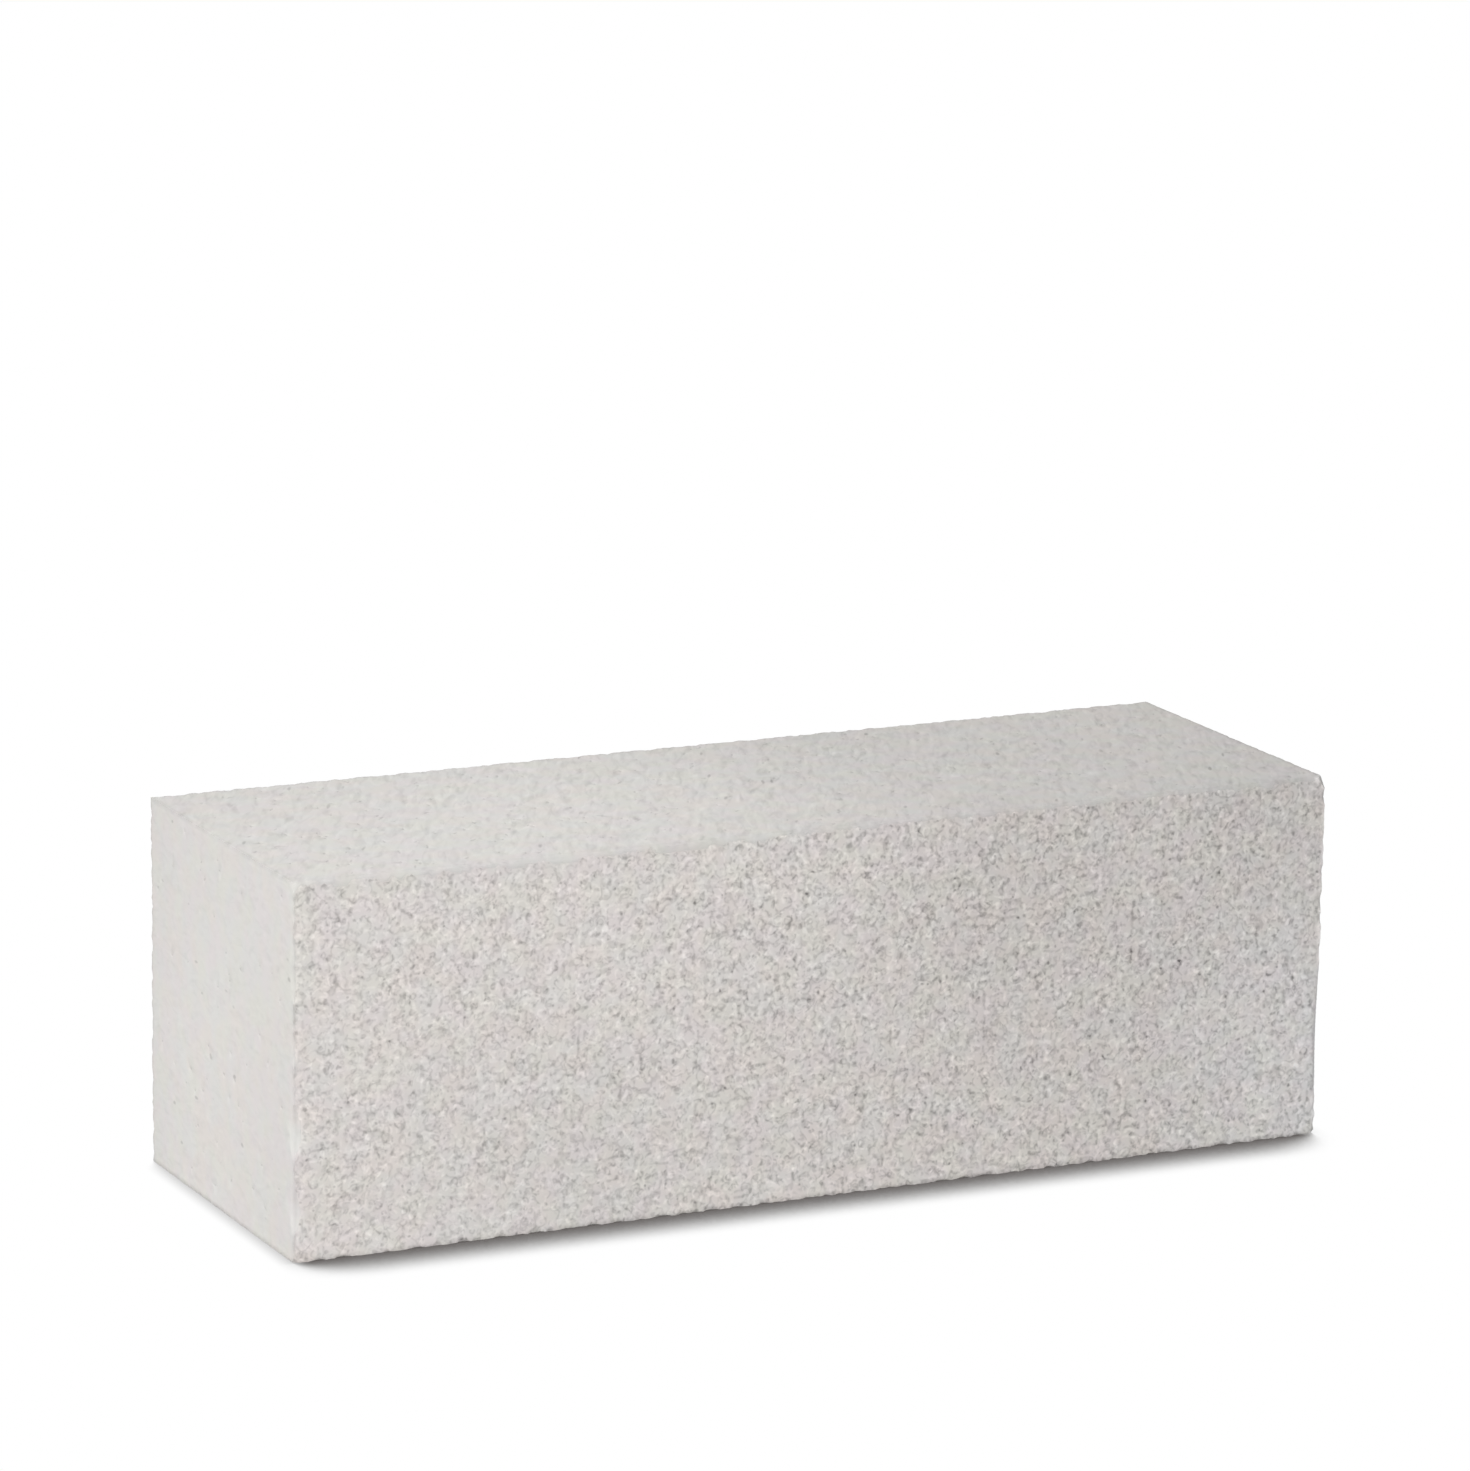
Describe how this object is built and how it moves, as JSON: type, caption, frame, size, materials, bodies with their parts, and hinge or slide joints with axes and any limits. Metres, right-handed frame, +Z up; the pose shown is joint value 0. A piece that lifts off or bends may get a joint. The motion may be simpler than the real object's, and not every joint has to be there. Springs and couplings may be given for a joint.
{
  "type": "aerated concrete block",
  "caption": "Solid rectangular masonry block of light aerated concrete, with open-pored sawn faces, softened arrises and a few chipped corners.",
  "frame": {"origin": "middle of the bottom face, on the floor", "axes": "+X along the length, -Y out of the front face, +Z up"},
  "size_m": [0.6, 0.2, 0.2],
  "materials": {
    "aerated_concrete": "matt, open-pored, light warm grey"
  },
  "bodies": {
    "root": {"block": "aerated_concrete"}
  },
  "joints": []
}
